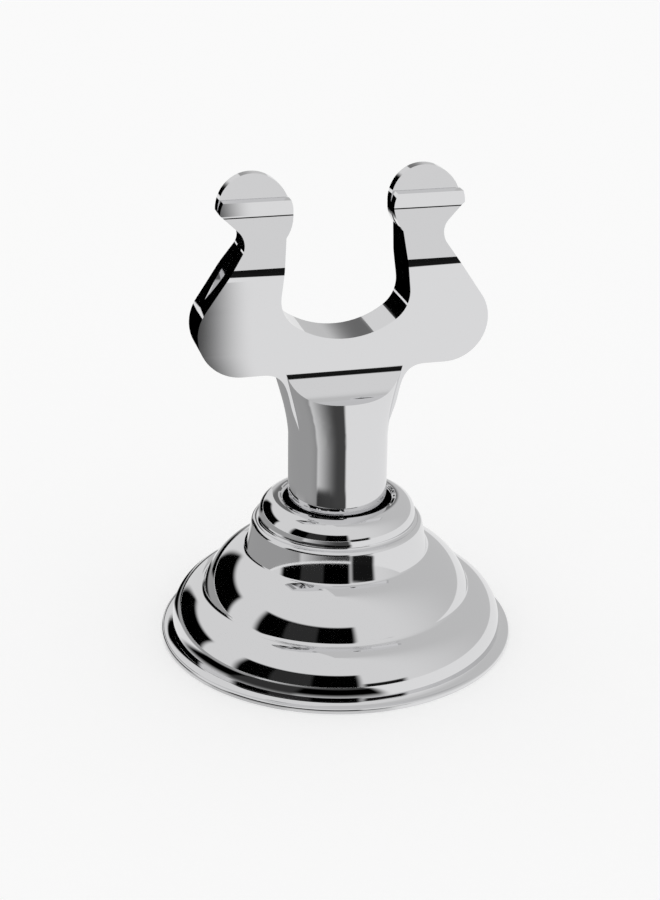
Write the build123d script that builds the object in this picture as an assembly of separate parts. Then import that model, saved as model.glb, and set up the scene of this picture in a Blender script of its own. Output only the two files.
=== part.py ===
"""Harp clip table stand: two sprung jaws on a weighted, stepped round base.

Millimetres, +Z up.  The origin is the centre of the foot.  The harp lies in the
XZ plane, the card goes in from above along the XZ plane, and the front is -Y.
"""
from build123d import *
from math import atan2, cos, degrees, radians, sin, sqrt, tan
import os

# ---- pressed base shell: steps in radius and height, from the rim inwards ---------
rim_radius = 14.3
rim_height = 0.4
rim_edge = 0.15
rim_width = 0.99
shell_wall = 0.8
dome_belly_step = 0.07
dome_belly_height = 2.07
dome_step = 2.24
dome_height = 4.03
step_belly_step = 1.88
step_belly_rise = 2.4
step_step = 3.76
step_rise = 3.45
cap_taper = 0.48
cap_rise = 2.38
cap_edge = 0.25
crown_step = 0.56
crown_belly_step = 0.26
crown_belly_rise = 1.28
crown_rise = 1.85
hole_clearance = 0.36
hole_lip = 0.25

# ---- inside the base ------------------------------------------------------------
pad_thickness = 1.0
pad_clearance = 0.2
weight_clearance = 0.05
weight_shoulder = 0.4
socket_floor = 5.2
socket_clearance = 0.2
screw_radius = 1.5
thread_clearance = 0.05
screw_head_radius = 2.7
screw_head_height = 1.5
screw_slot_width = 0.6
screw_slot_depth = 0.7
washer_radius = 3.0
washer_thickness = 0.4
washer_clearance = 0.1
recess_clearance = 0.2
boss_radius = 2.2
boss_clearance = 0.05
boss_depth = 1.7
flange_radius = 2.8
flange_thickness = 0.4

# ---- pivot of the two jaws --------------------------------------------------------
pivot_height = 7.5
pin_radius = 0.8
pin_half_length = 3.2
pin_clearance = 0.03
pin_end_clearance = 0.1
eye_radius = 1.55
eye_half_width = 1.2
eye_clearance = 0.15
foot_gap = 0.3
foot_relief = 0.15
ring_width = 0.9
ring_wall = 0.8
ring_clearance = 0.1
ring_gap = 2.8

# ---- stem and the scooped shoulder above it, flare given by its drop ---------------
stem_radius = 3.95
shoulder_height = 23.3
scoop_radius = 2.1
scoop_drop = 2.35
stem_flare_drop = 6.1
stem_flare = {4.8: 4.1, 2.8: 4.55, 0.8: 5.1, 0: 5.3}

# ---- harp outline, seen from the front ---------------------------------------------
root_half_width = 3.4
root_drop = 6.3
flare_half_width = 4.2
flare_drop = 3.1
lobe_bottom_drop = 0.18
lobe_underside_start = 6.4
lobe_centre_x = 8.05
lobe_radius = 3.38
slant_angle = 34.3
neck_half_width = 7.72
neck_fillet = 1.3
head_undercut_angle = 47.0
head_centre_x = 6.68
head_rise = 0.08
head_radius = 2.78
u_half_width = 5.05
u_floor_rise = 2.33
u_floor_radius = 6.8
u_corner_radius = 2.6
u_lean = 6.5

# ---- harp section, seen from the side -----------------------------------------------
face_depth = 1.85
bulge_start_rise = 1.7
bulge_depth = 2.1
bulge_rise = 7.9
bend_radius = 2.5
crease_radius = 0.4
crease_depth = 0.95
crease_rise = 4.18
nip_below = 0.48
nip_above = 0.22
slit_length = 6.0
slit_depth = 0.75
lip_rise = 1.15
lip_thickness = 0.9
lip_reach = 1.2
tip_lean = 10.0
tip_thickness = 0.7


# ---- radii and heights that follow from the sizes above -----------------------------
dome_foot_radius = rim_radius - rim_width
dome_belly_radius = dome_foot_radius - dome_belly_step
step_foot_radius = dome_foot_radius - dome_step
step_belly_radius = step_foot_radius - step_belly_step
step_belly_height = dome_height + step_belly_rise
cap_foot_radius = step_foot_radius - step_step
cap_foot_height = dome_height + step_rise
cap_top_radius = cap_foot_radius - cap_taper
cap_top_height = cap_foot_height + cap_rise
crown_foot_radius = cap_top_radius - crown_step
crown_belly_radius = crown_foot_radius - crown_belly_step
crown_belly_height = cap_top_height + crown_belly_rise
crown_height = cap_top_height + crown_rise
hole_radius = stem_radius + hole_clearance
washer_seat = socket_floor - boss_depth
washer_foot = washer_seat - washer_thickness
head_foot = washer_foot - screw_head_height
foot_height = socket_floor + flange_thickness + foot_gap
weight_top = cap_top_height - shell_wall - ring_width - ring_clearance
ring_radius = stem_radius
stem_straight_top = shoulder_height - stem_flare_drop
root_height = shoulder_height - root_drop
flare_height = shoulder_height - flare_drop
lobe_bottom_height = shoulder_height - lobe_bottom_drop
lobe_centre_height = lobe_bottom_height + lobe_radius
u_floor_height = shoulder_height + u_floor_rise
bulge_start = shoulder_height + bulge_start_rise
bulge_height = shoulder_height + bulge_rise
crease_height = bulge_height + crease_rise
head_centre_height = crease_height + head_rise
nip_bottom = crease_height - nip_below
nip_top = crease_height + nip_above
slit_bottom = nip_bottom - slit_length
slit_height = (nip_bottom + slit_bottom) / 2
lip_height = crease_height + lip_rise


def revolved(section):
    """A solid of revolution about Z from a section drawn on XZ."""
    return revolve(section, Axis.Z)


def drawn_in(radius, height, inward):
    """A point of the base outline moved in by the wall along its own direction."""
    return (radius + inward[0] * shell_wall, 0, height + inward[1] * shell_wall)


def base_outline():
    """The stepped base's outer face from the foot to the hole, dome by dome."""
    dome_foot = (dome_foot_radius, 0, 0)
    step_foot = (step_foot_radius, 0, dome_height)
    cap_foot = (cap_foot_radius, 0, cap_foot_height)
    cap_top = (cap_top_radius, 0, cap_top_height)
    crown_foot = (crown_foot_radius, 0, cap_top_height)
    crown_top = (hole_radius, 0, crown_height)
    return [
        ThreePointArc(dome_foot, (dome_belly_radius, 0, dome_belly_height), step_foot),
        ThreePointArc(step_foot, (step_belly_radius, 0, step_belly_height), cap_foot),
        Line(cap_foot, cap_top),
        Line(cap_top, crown_foot),
        ThreePointArc(crown_foot, (crown_belly_radius, 0, crown_belly_height), crown_top),
        Line(crown_top, (hole_radius, 0, 0)),
        Line((hole_radius, 0, 0), dome_foot),
    ]


def base_hollow():
    """The room inside the shell: plain cones a wall's thickness in from the domes."""
    corners = [
        drawn_in(0, 0, (0, 0)),
        drawn_in(dome_foot_radius, 0, (-1, 0)),
        drawn_in(dome_belly_radius, dome_belly_height, (-1, -0.3)),
        drawn_in(step_foot_radius, dome_height, (-1, -0.7)),
        drawn_in(step_belly_radius, step_belly_height, (-0.75, -0.7)),
        drawn_in(cap_foot_radius, cap_foot_height, (-1, -0.8)),
        drawn_in(cap_top_radius, cap_top_height, (-1, -1)),
        drawn_in(crown_foot_radius, cap_top_height, (-1, -1)),
        drawn_in(crown_belly_radius, crown_belly_height, (-0.8, -0.75)),
        drawn_in(hole_radius, crown_height, (0, -1)),
        drawn_in(0, crown_height, (0, -1)),
    ]
    return revolved(make_face(Polyline(*corners, close=True)))


def cylinder(radius, low, high):
    """An upright cylinder between two heights."""
    return Pos(0, 0, low) * Cylinder(radius, high - low, align=(Align.CENTER, Align.CENTER, Align.MIN))


def cross_cylinder(radius, half_length, height):
    """A cylinder along X on the harp's middle plane."""
    return Pos(0, 0, height) * Rot(0, 90, 0) * Cylinder(radius, 2 * half_length)


def edges_at(part, height, radius):
    """Circular edges of a part at a height and about a radius."""
    rings = part.edges().filter_by(GeomType.CIRCLE)
    level = [ring for ring in rings if abs(ring.center().Z - height) < 0.01]
    return [ring for ring in level if abs(ring.radius - radius) < 0.01]


def base_shell():
    """Pressed shell: flat rim, two domes, a straight cap and a crown with a hole."""
    rim = cylinder(rim_radius, 0, rim_height) - cylinder(hole_radius, 0, rim_height)
    shell = revolved(make_face(Curve() + base_outline())) + rim - base_hollow()
    shell = chamfer(edges_at(shell, rim_height, rim_radius), rim_edge)
    shell = chamfer(edges_at(shell, cap_top_height, cap_top_radius), cap_edge)
    return chamfer(edges_at(shell, crown_height, hole_radius), hole_lip)


def base_weight():
    """Cast slug of four steps that fills the shell, with the socket and the screw recess."""
    clear = shell_wall + weight_clearance
    skirt_top = dome_belly_height - weight_shoulder
    waist_top = dome_height - clear
    chest_top = step_belly_height - clear
    slug = cylinder(dome_belly_radius - clear, pad_thickness, skirt_top)
    slug += cylinder(step_foot_radius - clear, skirt_top, waist_top)
    slug += cylinder(step_belly_radius - clear, waist_top, chest_top)
    slug += cylinder(cap_top_radius - clear, chest_top, weight_top)
    slug -= cylinder(stem_radius + socket_clearance, socket_floor, weight_top)
    slug -= cylinder(boss_radius + boss_clearance, 0, socket_floor)
    return slug - cylinder(washer_radius + recess_clearance, 0, washer_seat)


def foot_pad():
    """Soft disc under the weight, inside the shell's rim."""
    radius = dome_foot_radius - shell_wall - pad_clearance
    return cylinder(radius, 0, pad_thickness)


def anchor_stud():
    """Turned stud that holds the pivot: an eye, a flange and a tapped boss."""
    eye = cross_cylinder(eye_radius, eye_half_width, pivot_height)
    neck_height = pivot_height - socket_floor
    neck = Pos(0, 0, socket_floor + neck_height / 2) * Box(2 * eye_half_width, 2 * eye_radius, neck_height)
    flange = cylinder(flange_radius, socket_floor, socket_floor + flange_thickness)
    boss = cylinder(boss_radius, washer_seat, socket_floor)
    stud = eye + neck + flange + boss
    stud -= cylinder(screw_radius + thread_clearance, washer_seat, socket_floor)
    return stud - cross_cylinder(pin_radius + pin_clearance, 2 * eye_half_width, pivot_height)


def clamp_screw():
    """Slotted pan head screw that pulls the stud down from below."""
    tip = socket_floor - screw_slot_depth / 2
    screw = cylinder(screw_radius, washer_foot, tip) + cylinder(screw_head_radius, head_foot, washer_foot)
    slot = Box(3 * screw_head_radius, screw_slot_width, 2 * screw_slot_depth)
    return screw - Pos(0, 0, head_foot) * slot


def lock_washer():
    """Flat ring between the screw head and the weight."""
    ring = cylinder(washer_radius, washer_foot, washer_seat)
    return ring - cylinder(screw_radius + washer_clearance, washer_foot, washer_seat)


def pivot_pin():
    """Cross pin on which both jaws rock."""
    return cross_cylinder(pin_radius, pin_half_length, pivot_height)


def spring_ring():
    """Open flat ring round both half stems, which presses the jaws together."""
    ring = cylinder(ring_radius + ring_wall / 2, weight_top, weight_top + ring_width)
    ring -= cylinder(ring_radius - ring_wall / 2, weight_top, weight_top + ring_width)
    gap = Box(ring_gap, 2 * ring_radius, ring_width, align=(Align.CENTER, Align.MAX, Align.MIN))
    return ring - Pos(0, 0, weight_top) * gap


def at(x, z):
    """A point on the XZ plane."""
    return Vector(x, 0, z)


def along(start, angle, length):
    """The point a length away at an angle, measured from +X towards +Z."""
    return start + at(length * cos(radians(angle)), length * sin(radians(angle)))


def harp_outline():
    """Right half of the harp from the front: root, lobe, neck, round head and U."""
    lobe_centre = at(lobe_centre_x, lobe_centre_height)
    root = at(root_half_width, root_height)
    flare = at(flare_half_width, flare_height)
    underside = at(lobe_underside_start, lobe_bottom_height)
    lobe_foot = at(lobe_centre_x, lobe_bottom_height)
    slant_foot = along(lobe_centre, slant_angle, lobe_radius)

    # the neck's arc touches the slanted edge and leaves towards the head
    neck_x = neck_half_width + neck_fillet
    reach = neck_fillet - (neck_x - slant_foot.X) * cos(radians(slant_angle))
    neck_centre = at(neck_x, slant_foot.Z + reach / sin(radians(slant_angle)))
    neck_start = along(neck_centre, 180 + slant_angle, neck_fillet)
    neck_end = along(neck_centre, 180 - head_undercut_angle, neck_fillet)

    # the undercut runs on at its angle until it meets the round head
    head_centre = at(head_centre_x, head_centre_height)
    to_head = head_centre - neck_end
    run = at(cos(radians(90 - head_undercut_angle)), sin(radians(90 - head_undercut_angle)))
    middle = to_head.dot(run)
    undercut = middle + sqrt(head_radius ** 2 - to_head.dot(to_head) + middle ** 2)
    head_corner = neck_end + run * undercut

    # the U: a flat arc for a floor, a tighter arc at each corner, sides that lean in
    floor_centre = at(0, u_floor_height + u_floor_radius)
    across = u_half_width - u_corner_radius
    down = sqrt((u_floor_radius - u_corner_radius) ** 2 - across ** 2)
    corner_centre = floor_centre + at(across, -down)
    u_floor = at(0, u_floor_height)
    floor_end = along(floor_centre, -degrees(atan2(down, across)), u_floor_radius)
    floor_middle = along(floor_centre, -degrees(atan2(down, across)) / 2 - 45, u_floor_radius)
    corner_end = along(corner_centre, u_lean, u_corner_radius)
    corner_middle = along(corner_centre, u_lean / 2 - degrees(atan2(down, across)) / 2, u_corner_radius)
    lean = at(-sin(radians(u_lean)), cos(radians(u_lean)))
    to_head = head_centre - corner_end
    middle = to_head.dot(lean)
    rise = middle - sqrt(head_radius ** 2 - to_head.dot(to_head) + middle ** 2)
    head_foot_point = corner_end + lean * rise
    head_top = at(head_centre_x, head_centre_height + head_radius)

    neck_middle = at(neck_half_width, neck_centre.Z)
    lobe_middle = along(lobe_centre, (slant_angle - 90) / 2, lobe_radius)
    return [
        Line(at(0, root_height), root),
        Spline(root, flare, underside, tangents=(at(0, 1), at(1, 0))),
        Line(underside, lobe_foot),
        ThreePointArc(lobe_foot, lobe_middle, slant_foot),
        Line(slant_foot, neck_start),
        ThreePointArc(neck_start, neck_middle, neck_end),
        Line(neck_end, head_corner),
        ThreePointArc(head_corner, head_top, head_foot_point),
        Line(head_foot_point, corner_end),
        ThreePointArc(corner_end, corner_middle, floor_end),
        ThreePointArc(floor_end, floor_middle, u_floor),
        Line(u_floor, at(0, root_height)),
    ]


def harp_blank():
    """The harp's outline as a block, deeper than the jaw on both sides."""
    half = extrude(make_face(Curve() + harp_outline()), amount=2 * stem_radius, both=True)
    return half + mirror(half, Plane.YZ)


def side(y, z):
    """A point on the YZ plane."""
    return Vector(0, y, z)


def jaw_section(top):
    """Half of the jaw's section, closed along the middle plane by the slit."""
    bulge = side(-bulge_depth, bulge_height)
    crease = side(-crease_depth, crease_height)
    bulge_foot = side(-face_depth, bulge_start)
    slit = ThreePointArc(side(0, nip_bottom), side(-slit_depth, slit_height), side(0, slit_bottom))
    return [
        Line(side(0, root_height), side(-face_depth, root_height)),
        Line(side(-face_depth, root_height), bulge_foot),
        TangentArc(bulge_foot, bulge, tangent=(0, 0, 1)),
        Line(bulge, crease),
        *top,
        Line(side(0, nip_top), side(0, nip_bottom)),
        slit,
        Line(side(0, slit_bottom), side(0, root_height)),
    ]


def soften(section, y, z, radius):
    """The section with its corner at a point rounded off."""
    corner = section.vertices().sort_by_distance(side(y, z))[0]
    return section.face().fillet_2d(radius, [corner])


def lip_line():
    """Front jaw's lip: cut off straight and flared towards the front."""
    crease = side(-crease_depth, crease_height)
    outer = side(-lip_reach, lip_height)
    inner = side(lip_thickness - lip_reach, lip_height)
    return [Line(crease, outer), Line(outer, inner), Line(inner, side(0, nip_top))]


def tip_line():
    """Rear jaw's tip: the whole round head, leaning to the back."""
    above = head_centre_height + 2 * head_radius
    crease = side(-crease_depth, crease_height)
    outer = side(-crease_depth - (above - crease_height) * tan(radians(tip_lean)), above)
    inner = outer + side(tip_thickness, 0)
    return [Line(crease, outer), Line(outer, inner), Line(inner, side(0, nip_top))]


def harp_plate(top):
    """The harp half: its outline cut to the side section."""
    section = make_face(Curve() + jaw_section(top))
    section = soften(section, -bulge_depth, bulge_height, bend_radius)
    section = soften(section, -crease_depth, crease_height, crease_radius)
    reach = head_centre_x + 2 * lobe_radius
    return harp_blank() & extrude(section, amount=reach, both=True)


def flared_stem():
    """Round stem whose top flares sideways into the harp."""
    flare = [Plane.XY.offset(stem_straight_top) * Circle(stem_radius)]
    for drop, half_width in stem_flare.items():
        flare.append(Plane.XY.offset(shoulder_height - drop) * Ellipse(half_width, stem_radius))
    return cylinder(stem_radius, foot_height, stem_straight_top) + loft(flare)


def scoop():
    """Hollow in front of the harp's face, above the stem's shoulder."""
    start = side(-face_depth, shoulder_height)
    corner = side(-2 * stem_radius, shoulder_height)
    floor = shoulder_height - scoop_drop
    turn = side(-face_depth - scoop_radius, floor)
    outer_floor = side(-2 * stem_radius, floor)
    section = make_face(Curve() + [
        TangentArc(start, turn, tangent=(0, 0, -1)),
        Line(turn, outer_floor),
        Line(outer_floor, corner),
        Line(corner, start),
    ])
    return extrude(section, amount=2 * stem_radius, both=True)


def half_stem():
    """Half round stem, hollowed by the scoop where it meets the harp's face."""
    stem = flared_stem() & Pos(0, -stem_radius, 0) * Box(
        4 * stem_radius, 2 * stem_radius, 2 * shoulder_height,
        align=(Align.CENTER, Align.CENTER, Align.MIN),
    )
    return stem - scoop()


def pivot_room():
    """What the jaws leave free: the pin, the eye, the rocking foot and the ring."""
    room = cross_cylinder(pin_radius + pin_clearance, pin_half_length + pin_end_clearance, pivot_height)
    eye_room = eye_radius + eye_clearance
    width = 2 * (eye_half_width + eye_clearance)
    height = pivot_height + eye_room - foot_height
    slot = Box(width, 2 * eye_room, height, align=(Align.CENTER, Align.CENTER, Align.MIN))
    room += Pos(0, 0, foot_height) * slot
    relief = Box(3 * stem_radius, 2 * foot_relief, pivot_height - foot_height,
                 align=(Align.CENTER, Align.CENTER, Align.MIN))
    room += Pos(0, 0, foot_height) * relief
    groove = cylinder(2 * stem_radius, weight_top - ring_clearance, weight_top + ring_width + ring_clearance)
    groove -= cylinder(ring_radius - ring_wall / 2 - ring_clearance, 0, shoulder_height)
    return room + groove


def front_jaw():
    """Front half of the clip, facing -Y."""
    return harp_plate(lip_line()) + half_stem() - pivot_room()


def rear_jaw():
    """Rear half of the clip, turned to face +Y."""
    jaw = harp_plate(tip_line()) + half_stem() - pivot_room()
    return mirror(jaw, Plane.XZ)


PARTS = {
    "base_shell": base_shell,
    "base_weight": base_weight,
    "foot_pad": foot_pad,
    "anchor_stud": anchor_stud,
    "clamp_screw": clamp_screw,
    "lock_washer": lock_washer,
    "pivot_pin": pivot_pin,
    "spring_ring": spring_ring,
    "front_jaw": front_jaw,
    "rear_jaw": rear_jaw,
}

if __name__ == "__main__":
    os.makedirs("parts", exist_ok=True)
    for name, make in PARTS.items():
        export_step(make(), f"parts/{name}.step")
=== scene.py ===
"""Looks for a harp clip table stand: chrome shell, two chrome jaws and a plain stage."""

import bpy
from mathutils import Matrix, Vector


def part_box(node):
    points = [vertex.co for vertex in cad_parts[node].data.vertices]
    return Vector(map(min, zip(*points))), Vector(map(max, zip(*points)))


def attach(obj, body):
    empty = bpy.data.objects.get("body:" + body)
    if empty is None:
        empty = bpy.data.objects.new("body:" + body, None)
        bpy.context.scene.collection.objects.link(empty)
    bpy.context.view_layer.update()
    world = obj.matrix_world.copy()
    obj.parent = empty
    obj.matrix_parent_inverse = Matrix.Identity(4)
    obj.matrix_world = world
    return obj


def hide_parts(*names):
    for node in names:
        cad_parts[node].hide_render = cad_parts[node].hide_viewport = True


bl_info = {
    "name": "Harp Clip Table Stand",
    "version": (1, 0, 0),
    "blender": (4, 5, 0),
    "location": "3D View > Sidebar > Harp Clip",
    "description": "Rebuilds the visible pieces of a sprung card clip and sets its stage",
    "category": "Add Mesh",
}

import math

import bmesh
import bpy
from bpy.props import FloatProperty, FloatVectorProperty, IntProperty, PointerProperty
from mathutils import Matrix, Vector

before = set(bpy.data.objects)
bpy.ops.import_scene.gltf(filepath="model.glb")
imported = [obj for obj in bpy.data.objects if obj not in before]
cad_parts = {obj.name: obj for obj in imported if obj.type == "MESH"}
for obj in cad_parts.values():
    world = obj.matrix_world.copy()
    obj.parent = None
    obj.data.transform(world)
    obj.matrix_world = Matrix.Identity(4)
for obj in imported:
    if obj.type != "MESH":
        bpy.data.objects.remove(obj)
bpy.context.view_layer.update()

MM = 0.001
SENSOR = 36.0
AXIS_Z = Vector((0, 0, 1))
AXIS_Y = Vector((0, 1, 0))

SHELL_LOW, SHELL_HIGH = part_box("base_shell")


# ---- sizes and colours a user would change -------------------------------------------
def length(name, description, default):
    """A length property given in millimetres, kept in metres."""
    return FloatProperty(name=name, description=description, default=default * MM,
                         min=0.0, precision=5, unit="LENGTH", subtype="DISTANCE")


def angle(name, description, default):
    """An angle property given in degrees, kept in radians."""
    return FloatProperty(name=name, description=description, default=math.radians(default),
                         unit="ROTATION", subtype="ANGLE")


def share(name, description, default):
    """A share between nothing and all."""
    return FloatProperty(name=name, description=description, default=default,
                         min=0.0, max=1.0, subtype="FACTOR")


def colour(name, description, default):
    """A plain colour."""
    return FloatVectorProperty(name=name, description=description, default=default,
                               size=3, min=0.0, max=1.0, subtype="COLOR")


class HarpShellSizes(bpy.types.PropertyGroup):
    """Radii and heights of the pressed base shell."""
    rim_height: length("Rim height", "Thickness of the flat rim", 0.4)
    rim_width: length("Rim width", "How far the rim stands out from the dome", 0.99)
    rim_round: length("Rim rounding", "Rounding on the rim's upper edge", 0.15)
    wall: length("Wall", "Thickness of the pressed sheet", 0.8)
    dome_height: length("Dome height", "Top of the lowest dome", 3.92)
    dome_step: length("Dome step", "How far the lowest dome comes in", 2.48)
    step_height: length("Step height", "Top of the second dome", 7.48)
    step_step: length("Step step", "How far the second dome comes in", 3.52)
    cap_height: length("Cap height", "Top edge of the straight cap", 9.86)
    cap_taper: length("Cap taper", "How far the cap's wall leans in", 0.48)
    cap_round: length("Cap rounding", "Rounding on the cap's upper edge", 0.3)
    crown_step: length("Crown step", "Width of the flat at the cap's top", 0.56)
    crown_height: length("Crown height", "Height of the hole's edge", 11.71)
    hole_radius: length("Hole radius", "Radius of the hole round the stem", 4.31)
    hole_round: length("Hole rounding", "Rounding on the hole's edge", 0.25)
    segments: IntProperty(name="Segments", description="Steps round the shell", default=192, min=48)


class HarpFinish(bpy.types.PropertyGroup):
    """Colours and polish of the pieces."""
    chrome: colour("Chrome", "Colour of the plated surface", (0.80, 0.80, 0.81))
    polish: share("Polish", "Roughness of the plated surface", 0.035)
    iron: colour("Iron", "Colour of the cast weight", (0.07, 0.07, 0.075))
    zinc: colour("Zinc", "Colour of the plated screw and stud", (0.62, 0.62, 0.60))
    spring: colour("Spring", "Colour of the spring strip", (0.35, 0.36, 0.38))
    rubber: colour("Rubber", "Colour of the foot pad", (0.03, 0.03, 0.033))


class HarpStage(bpy.types.PropertyGroup):
    """Camera, floor and light."""
    azimuth: angle("Azimuth", "Camera direction round the stand", -15.0)
    elevation: angle("Elevation", "Camera height above the floor as an angle", 28.48)
    roll: angle("Roll", "How far the camera is turned about its line of sight", 0.7)
    distance: length("Distance", "Camera distance from the centre of the foot", 150.0)
    aim_height: length("Aim height", "Height that the camera looks at", 15.61)
    aim_side: FloatProperty(name="Aim side", description="How far right of the axis the camera looks",
                            default=-0.605 * MM, precision=5, unit="LENGTH", subtype="DISTANCE")
    focal: FloatProperty(name="Focal length", description="Lens for a 36 mm sensor side",
                         default=72.1, min=1.0, subtype="DISTANCE_CAMERA")
    floor: colour("Floor", "Colour of the plain floor", (0.9, 0.9, 0.9))
    glow: share("Floor glow", "Light that the floor adds to its own white", 0.27)
    # painted reflection: the brightness that the floor is painted with for glossy rays
    painted_floor_reflection: share("Reflected floor", "Brightness of the floor in the plating", 0.85)
    sky: share("Studio light", "Brightness of the studio round the stand", 0.95)


# points that the domes and the crown bulge through: step inwards, height
DOME_BELLY = (0.07, 2.07)
STEP_BELLY = (1.64, 6.43)
CROWN_BELLY = (0.26, 11.14)

# each card darkens a band of directions of the studio light, or paints a dark reflection into the floor that
# only the plating sees: azimuth from and to, height or reach from and to, softness of its sides, softness of
# its ends, brightness
SKY_CARDS = (
    (-84, 2, -90, 35, 4, 1.5, 0.0),
    (-58, -30, -90, 33, 2, 2, 0.035),
    (-166, -114, -90, 27, 3, 3, 0.0),
    (4, 32, -90, 8, 3, 1.5, 0.01),
    (158, 181, 18, 40, 5, 6, 0.2),
)
# painted reflection: dark patches painted into the floor's glossy-ray emission, so the plating shows dark
# reflections where no dark thing stands
PAINTED_FLOOR_REFLECTIONS = (
    (-90, 4, 15, 34, 6, 1.5, 0.0),
    (-58, -30, 15, 34, 2, 1.5, 0.035),
    (-152, -120, 15, 60, 3, 2, 0.0),
    (-181, -60, 28, 500, 6, 4, 0.36),
    (-46, 3, 28, 500, 34, 4, 0.06),
    (-176, -150, 46, 500, 4, 4, 0.0),
    (4, 32, 140, 9000, 3, 12, 0.01),
)


GROUPS = {
    "harp_shell": HarpShellSizes,
    "harp_finish": HarpFinish,
    "harp_stage": HarpStage,
}


# ---- nodes ---------------------------------------------------------------------------
class Tree:
    """A node tree with short calls for adding and linking nodes."""

    def __init__(self, owner):
        owner.use_nodes = True
        self.tree = owner.node_tree
        self.tree.nodes.clear()

    def add(self, kind, **settings):
        """A new node; inputs are given by socket name, the rest are the node's own."""
        node = self.tree.nodes.new(kind)
        sockets = settings.pop("sockets", {})
        for name, value in settings.items():
            setattr(node, name, value)
        for name, value in sockets.items():
            self.put(node.inputs[name], value)
        return node

    def put(self, socket, value):
        """Links an output into a socket, or sets its value."""
        if isinstance(value, bpy.types.NodeSocket):
            self.tree.links.new(value, socket)
        else:
            socket.default_value = value

    def math(self, operation, *values):
        """The output of a Math node."""
        node = self.add("ShaderNodeMath", operation=operation)
        for socket, value in zip(node.inputs, values):
            self.put(socket, value)
        return node.outputs[0]

    def ramp(self, value, low, high, start=0.0, end=1.0):
        """A smooth step from start to end while value goes from low to high."""
        sockets = {"Value": value, "From Min": low, "From Max": high, "To Min": start, "To Max": end}
        node = self.add("ShaderNodeMapRange", interpolation_type="SMOOTHSTEP", sockets=sockets)
        return node.outputs["Result"]

    def between(self, value, low, high, soft):
        """One between two limits and nothing outside; the upper side is never very soft."""
        crisp = min(soft, 3.0)
        rise = self.ramp(value, low - soft, low + soft)
        fall = self.ramp(value, high - crisp, high + crisp, 1.0, 0.0)
        return self.math("MULTIPLY", rise, fall)

    def cards(self, level, around, along, cards):
        """The level with a list of dark cards laid over it: dark bands of studio light in the world, painted
        dark reflections on the floor.
        """
        for left, right, near, far, side_soft, end_soft, shade in cards:
            mask = self.math("MULTIPLY", self.between(around, left, right, side_soft),
                             self.between(along, near, far, end_soft))
            keep = self.math("MULTIPLY", level, self.math("SUBTRACT", 1.0, mask))
            level = self.math("ADD", keep, self.math("MULTIPLY", mask, shade))
        return level

    def compass(self, vector):
        """Azimuth in degrees, nought towards -Y and positive towards +X, and x, y and z."""
        parts = self.add("ShaderNodeSeparateXYZ", sockets={"Vector": vector}).outputs
        turned = self.math("ARCTAN2", parts["X"], self.math("MULTIPLY", parts["Y"], -1.0))
        return self.math("DEGREES", turned), parts


def plated(name, base, polish):
    """Mirror plating with faint haze and the slightest ripple."""
    material = bpy.data.materials.new(name)
    tree = Tree(material)
    place = tree.add("ShaderNodeTexCoord").outputs["Object"]
    haze = tree.add("ShaderNodeTexNoise", sockets={"Vector": place, "Scale": 420.0, "Detail": 3.0})
    ripple = tree.add("ShaderNodeTexNoise", sockets={"Vector": place, "Scale": 160.0, "Detail": 1.0})
    bump = tree.add("ShaderNodeBump", sockets={
        "Height": ripple.outputs["Fac"], "Strength": 0.02, "Distance": 0.00005})
    rough = tree.ramp(haze.outputs["Fac"], 0.35, 0.7, polish * 0.6, polish * 1.5)
    shader = tree.add("ShaderNodeBsdfPrincipled", sockets={
        "Base Color": (*base, 1.0), "Metallic": 1.0, "Roughness": rough, "Normal": bump.outputs["Normal"]})
    output = tree.add("ShaderNodeOutputMaterial")
    tree.put(output.inputs["Surface"], shader.outputs["BSDF"])
    return material


def speckled(name, base, metallic, rough, scale, depth):
    """A worked surface: colour, roughness and relief vary with one fine grain."""
    material = bpy.data.materials.new(name)
    tree = Tree(material)
    place = tree.add("ShaderNodeTexCoord").outputs["Object"]
    grain = tree.add("ShaderNodeTexNoise", sockets={"Vector": place, "Scale": scale, "Detail": 6.0})
    tint = tree.add("ShaderNodeMix", data_type="RGBA")
    tree.put(tint.inputs["Factor"], grain.outputs["Fac"])
    tree.put(tint.inputs[6], (*[0.75 * c for c in base], 1.0))
    tree.put(tint.inputs[7], (*[min(1.0, 1.2 * c) for c in base], 1.0))
    bump = tree.add("ShaderNodeBump", sockets={
        "Height": grain.outputs["Fac"], "Strength": 0.6, "Distance": depth})
    spread = tree.ramp(grain.outputs["Fac"], 0.3, 0.7, rough * 0.8, min(1.0, rough * 1.2))
    shader = tree.add("ShaderNodeBsdfPrincipled", sockets={
        "Base Color": tint.outputs[2], "Metallic": metallic, "Roughness": spread,
        "Normal": bump.outputs["Normal"]})
    output = tree.add("ShaderNodeOutputMaterial")
    tree.put(output.inputs["Surface"], shader.outputs["BSDF"])
    return material


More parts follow.
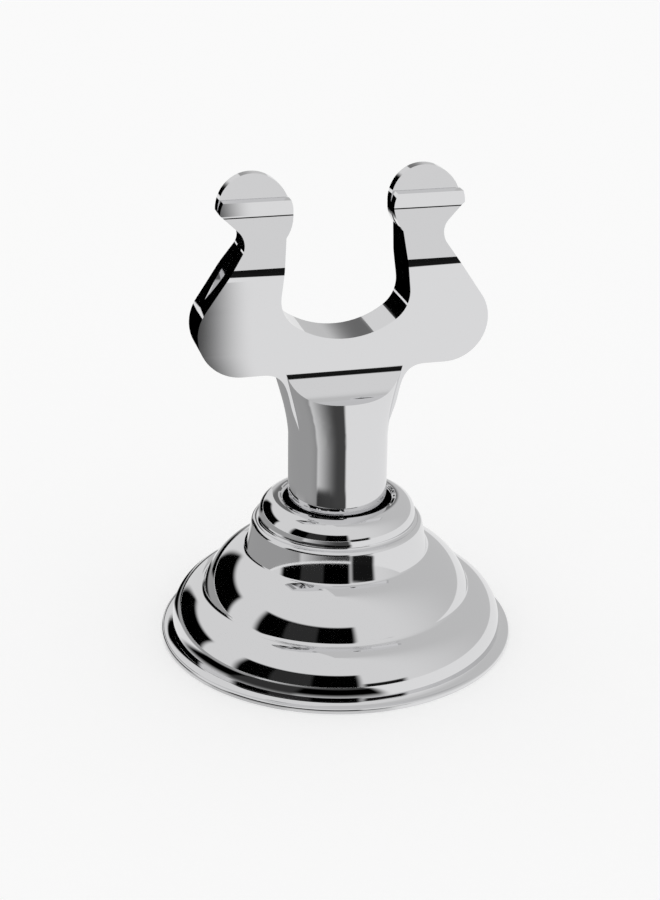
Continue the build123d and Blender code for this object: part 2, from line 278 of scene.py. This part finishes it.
# ---- drawing in bmesh ------------------------------------------------------------------
class Pen:
    """Draws a profile on the XZ plane out of straight runs and spun arcs."""

    def __init__(self, x, z):
        self.bm = bmesh.new()
        self.start = self.bm.verts.new((x, 0, z))
        self.last = self.start

    def line(self, x, z):
        """A straight run to a point."""
        point = self.bm.verts.new((x, 0, z))
        self.bm.edges.new((self.last, point))
        self.last = point

    def turn(self, cx, cz, swing, steps):
        """An arc round a centre, anticlockwise from +X to +Z where swing is positive."""
        spun = bmesh.ops.spin(self.bm, geom=[self.last], cent=(cx, 0, cz), axis=-AXIS_Y,
                              angle=swing, steps=steps, use_duplicate=False)
        self.last = [item for item in spun["geom_last"] if isinstance(item, bmesh.types.BMVert)][0]

    def through(self, mid, end, steps):
        """An arc from the last point through a middle point to an end, both (x, z)."""
        start = (self.last.co.x, self.last.co.z)
        cx, cz = circle_centre(start, mid, end)
        first = math.atan2(start[1] - cz, start[0] - cx)
        middle = math.atan2(mid[1] - cz, mid[0] - cx)
        final = math.atan2(end[1] - cz, end[0] - cx)
        swing = (final - first) % math.tau
        if (middle - first) % math.tau > swing:
            swing -= math.tau
        self.turn(cx, cz, swing, steps)

    def close(self):
        """Joins the last point to the first."""
        self.bm.edges.new((self.last, self.start))


def circle_centre(a, b, c):
    """Centre of the circle through three points of a plane."""
    ax, az = a
    bx, bz = b[0] - ax, b[1] - az
    cx, cz = c[0] - ax, c[1] - az
    d = 2 * (bx * cz - bz * cx)
    ux = (cz * (bx * bx + bz * bz) - bz * (cx * cx + cz * cz)) / d
    uz = (bx * (cx * cx + cz * cz) - cx * (bx * bx + bz * bz)) / d
    return ux + ax, uz + az


def finished(bm, name, material, body, node):
    """Turns a bmesh into a piece that stands for a CAD node and rides on its body."""
    bmesh.ops.recalc_face_normals(bm, faces=bm.faces[:])
    for face in bm.faces:
        face.smooth = True
    mesh = bpy.data.meshes.new(name)
    bm.to_mesh(mesh)
    bm.free()
    mesh.materials.append(material)
    piece = bpy.data.objects.new(name, mesh)
    bpy.context.scene.collection.objects.link(piece)
    weighted = piece.modifiers.new("even_normals", "WEIGHTED_NORMAL")
    weighted.weight = 80
    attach(piece, body)
    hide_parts(node)
    return piece


def rings_at(bm, radius, height):
    """Edges of a spun piece that lie on one circle."""
    found = []
    for edge in bm.edges:
        ends = [(Vector((v.co.x, v.co.y, 0)).length, v.co.z) for v in edge.verts]
        if all(abs(r - radius) < 0.02 * MM and abs(z - height) < 0.02 * MM for r, z in ends):
            found.append(edge)
    return found


def rounded(bm, edges, offset, segments):
    """Rounds a set of edges."""
    bmesh.ops.bevel(bm, geom=edges, offset=offset, offset_type="OFFSET", affect="EDGES",
                    segments=segments, profile=0.5, material=-1, clamp_overlap=True)


# ---- operators ---------------------------------------------------------------------------
class HARP_OT_shell(bpy.types.Operator):
    """Spin the pressed base shell with its rim, domes, cap and crown"""
    bl_idname = "harp.shell"
    bl_label = "Base Shell"

    def execute(self, context):
        size = context.scene.harp_shell
        rim = SHELL_HIGH.x
        foot = rim - size.rim_width
        step = foot - size.dome_step
        cap = step - size.step_step
        cap_top = cap - size.cap_taper
        crown = cap_top - size.crown_step
        wall = size.wall
        # outer face from the foot to the hole
        pen = Pen(rim, 0)
        pen.line(rim, size.rim_height)
        dome_mid = (foot - DOME_BELLY[0] * MM, DOME_BELLY[1] * MM)
        centre = circle_centre((foot, 0), dome_mid, (step, size.dome_height))
        radius = math.dist(centre, (foot, 0))
        rim_meet = centre[0] + math.sqrt(radius ** 2 - (size.rim_height - centre[1]) ** 2)
        pen.line(rim_meet, size.rim_height)
        pen.through(dome_mid, (step, size.dome_height), 20)
        step_mid = (step - STEP_BELLY[0] * MM, STEP_BELLY[1] * MM)
        pen.through(step_mid, (cap, size.step_height), 18)
        pen.line(cap_top, size.cap_height)
        pen.line(crown, size.cap_height)
        crown_mid = (crown - CROWN_BELLY[0] * MM, CROWN_BELLY[1] * MM)
        pen.through(crown_mid, (size.hole_radius, size.crown_height), 14)
        # inner face back to the foot
        pen.line(size.hole_radius, size.crown_height - wall)
        pen.line(crown - wall, size.cap_height - 0.2 * wall)
        pen.line(cap_top - wall, size.cap_height - wall)
        pen.line(cap - wall, size.step_height - 0.8 * wall)
        pen.line(step - 2.24 * MM, 5.95 * MM)
        pen.line(step - wall, size.dome_height - 0.7 * wall)
        pen.line(foot - wall, 1.9 * MM)
        pen.line(foot - wall, 0)
        pen.close()
        bm = pen.bm
        bmesh.ops.spin(bm, geom=bm.verts[:] + bm.edges[:], cent=(0, 0, 0), axis=AXIS_Z,
                       angle=math.tau, steps=size.segments, use_merge=True, use_duplicate=False)
        bmesh.ops.remove_doubles(bm, verts=bm.verts[:], dist=1e-7)
        bmesh.ops.recalc_face_normals(bm, faces=bm.faces[:])
        rounded(bm, rings_at(bm, rim, size.rim_height), size.rim_round, 4)
        rounded(bm, rings_at(bm, cap_top, size.cap_height), size.cap_round, 5)
        rounded(bm, rings_at(bm, size.hole_radius, size.crown_height), size.hole_round, 5)
        finished(bm, "pressed_shell", bpy.data.materials["polished_chrome"], "base",
                 "base_shell")
        return {"FINISHED"}


class HARP_OT_finishes(bpy.types.Operator):
    """Make the materials and give each carried node its own"""
    bl_idname = "harp.finishes"
    bl_label = "Finishes"

    def execute(self, context):
        finish = context.scene.harp_finish
        plated("polished_chrome", finish.chrome, finish.polish)
        plated("jaw_chrome_plate", finish.chrome, finish.polish)
        iron = speckled("cast_iron_skin", finish.iron, 0.6, 0.7, 900.0, 0.0002)
        zinc = speckled("zinc_plate", finish.zinc, 1.0, 0.3, 1500.0, 0.00003)
        spring = speckled("oiled_spring_strip", finish.spring, 1.0, 0.25, 2000.0, 0.00002)
        rubber = speckled("foot_pad_rubber", finish.rubber, 0.0, 0.8, 2500.0, 0.0001)
        worn = {
            "base_shell": bpy.data.materials["polished_chrome"],
            "front_jaw": bpy.data.materials["jaw_chrome_plate"],
            "rear_jaw": bpy.data.materials["jaw_chrome_plate"],
            "base_weight": iron,
            "foot_pad": rubber,
            "anchor_stud": zinc,
            "clamp_screw": zinc,
            "lock_washer": zinc,
            "pivot_pin": zinc,
            "spring_ring": spring,
        }
        for node, material in worn.items():
            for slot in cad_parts[node].material_slots:
                slot.material = material
        return {"FINISHED"}


class HARP_OT_stage(bpy.types.Operator):
    """Set the plain floor with its painted reflections, the soft light and the camera"""
    bl_idname = "harp.stage"
    bl_label = "Stage"

    def execute(self, context):
        stage = context.scene.harp_stage
        self.floor(stage)
        self.world(context.scene, stage)
        self.camera(context.scene, stage)
        context.scene.view_settings.view_transform = "Standard"
        return {"FINISHED"}

    def floor(self, stage):
        bm = bmesh.new()
        bmesh.ops.create_circle(bm, cap_ends=True, segments=96, radius=6.0)
        mesh = bpy.data.meshes.new("floor")
        bm.to_mesh(mesh)
        bm.free()
        floor = bpy.data.objects.new("floor", mesh)
        bpy.context.scene.collection.objects.link(floor)
        material = bpy.data.materials.new("floor_paint")
        tree = Tree(material)
        diffuse = tree.add("ShaderNodeBsdfDiffuse", sockets={"Color": (*stage.floor, 1.0)})
        glow = tree.add("ShaderNodeEmission", sockets={"Color": (1.0, 1.0, 1.0, 1.0), "Strength": stage.glow})
        both = tree.add("ShaderNodeAddShader")
        tree.put(both.inputs[0], diffuse.outputs[0])
        tree.put(both.inputs[1], glow.outputs[0])
        # painted reflection: for glossy rays the floor is not lit but glows at an even painted level, with
        # dark patches painted in
        place = tree.add("ShaderNodeTexCoord").outputs["Object"]
        around, parts = tree.compass(place)
        square = tree.math("ADD", tree.math("POWER", parts["X"], 2.0), tree.math("POWER", parts["Y"], 2.0))
        reach = tree.math("MULTIPLY", tree.math("SQRT", square), 1000.0)
        level = tree.cards(stage.painted_floor_reflection, around, reach, PAINTED_FLOOR_REFLECTIONS)
        painted_reflection = tree.add("ShaderNodeEmission", sockets={"Strength": level})
        path = tree.add("ShaderNodeLightPath").outputs
        first = tree.add("ShaderNodeMixShader")
        tree.put(first.inputs[0], path["Is Glossy Ray"])
        tree.put(first.inputs[1], diffuse.outputs[0])
        tree.put(first.inputs[2], painted_reflection.outputs[0])
        choice = tree.add("ShaderNodeMixShader")
        tree.put(choice.inputs[0], path["Is Camera Ray"])
        tree.put(choice.inputs[1], first.outputs[0])
        tree.put(choice.inputs[2], both.outputs[0])
        output = tree.add("ShaderNodeOutputMaterial")
        tree.put(output.inputs["Surface"], choice.outputs[0])
        mesh.materials.append(material)

    def world(self, scene, stage):
        world = bpy.data.worlds.new("soft_studio")
        scene.world = world
        tree = Tree(world)
        around, parts = tree.compass(tree.add("ShaderNodeTexCoord").outputs["Generated"])
        height = tree.math("DEGREES", tree.math("ARCSINE", parts["Z"]))
        right = tree.ramp(around, 30.0, 110.0, 1.0, 0.78)
        level = tree.math("MULTIPLY", right, stage.sky)
        level = tree.cards(level, around, height, SKY_CARDS)
        glossy = tree.add("ShaderNodeLightPath").outputs["Is Glossy Ray"]
        plain = tree.math("MULTIPLY", tree.math("SUBTRACT", 1.0, glossy), stage.sky)
        strength = tree.math("ADD", tree.math("MULTIPLY", level, glossy), plain)
        background = tree.add("ShaderNodeBackground", sockets={"Strength": strength})
        output = tree.add("ShaderNodeOutputWorld")
        tree.put(output.inputs["Surface"], background.outputs[0])

    def camera(self, scene, stage):
        data = bpy.data.cameras.new("camera")
        data.sensor_width = SENSOR
        data.sensor_fit = "AUTO"
        data.lens = stage.focal
        data.clip_start = 0.001
        camera = bpy.data.objects.new("camera", data)
        scene.collection.objects.link(camera)
        a, e = stage.azimuth, stage.elevation
        place = stage.distance * Vector((math.sin(a) * math.cos(e), -math.cos(a) * math.cos(e), math.sin(e)))
        aim = stage.aim_side * Vector((math.cos(a), math.sin(a), 0)) + Vector((0, 0, stage.aim_height))
        turned = (aim - place).to_track_quat("-Z", "Y").to_matrix().to_4x4()
        camera.matrix_world = Matrix.Translation(place) @ turned @ Matrix.Rotation(stage.roll, 4, "Z")
        scene.camera = camera


class HARP_PT_panel(bpy.types.Panel):
    """Lists the pieces, their sizes and the stage"""
    bl_idname = "HARP_PT_panel"
    bl_label = "Harp Clip"
    bl_space_type = "VIEW_3D"
    bl_region_type = "UI"
    bl_category = "Harp Clip"

    def draw(self, context):
        for group, kind in GROUPS.items():
            box = self.layout.box()
            for name in kind.__annotations__:
                box.prop(getattr(context.scene, group), name)
        for operator in OPERATORS:
            self.layout.operator(operator.bl_idname)


OPERATORS = (HARP_OT_finishes, HARP_OT_shell, HARP_OT_stage)
CLASSES = (*GROUPS.values(), *OPERATORS, HARP_PT_panel)


def register():
    """Registers the classes and hangs the property groups on the scene."""
    for kind in CLASSES:
        bpy.utils.register_class(kind)
    for name, kind in GROUPS.items():
        setattr(bpy.types.Scene, name, PointerProperty(type=kind))


def unregister():
    """Takes the property groups and the classes away again."""
    for name in GROUPS:
        delattr(bpy.types.Scene, name)
    for kind in reversed(CLASSES):
        bpy.utils.unregister_class(kind)


def main():
    """Builds the pieces and the stage."""
    register()
    for operator in OPERATORS:
        group, name = operator.bl_idname.split(".")
        getattr(getattr(bpy.ops, group), name)()


if __name__ == "__main__":
    main()
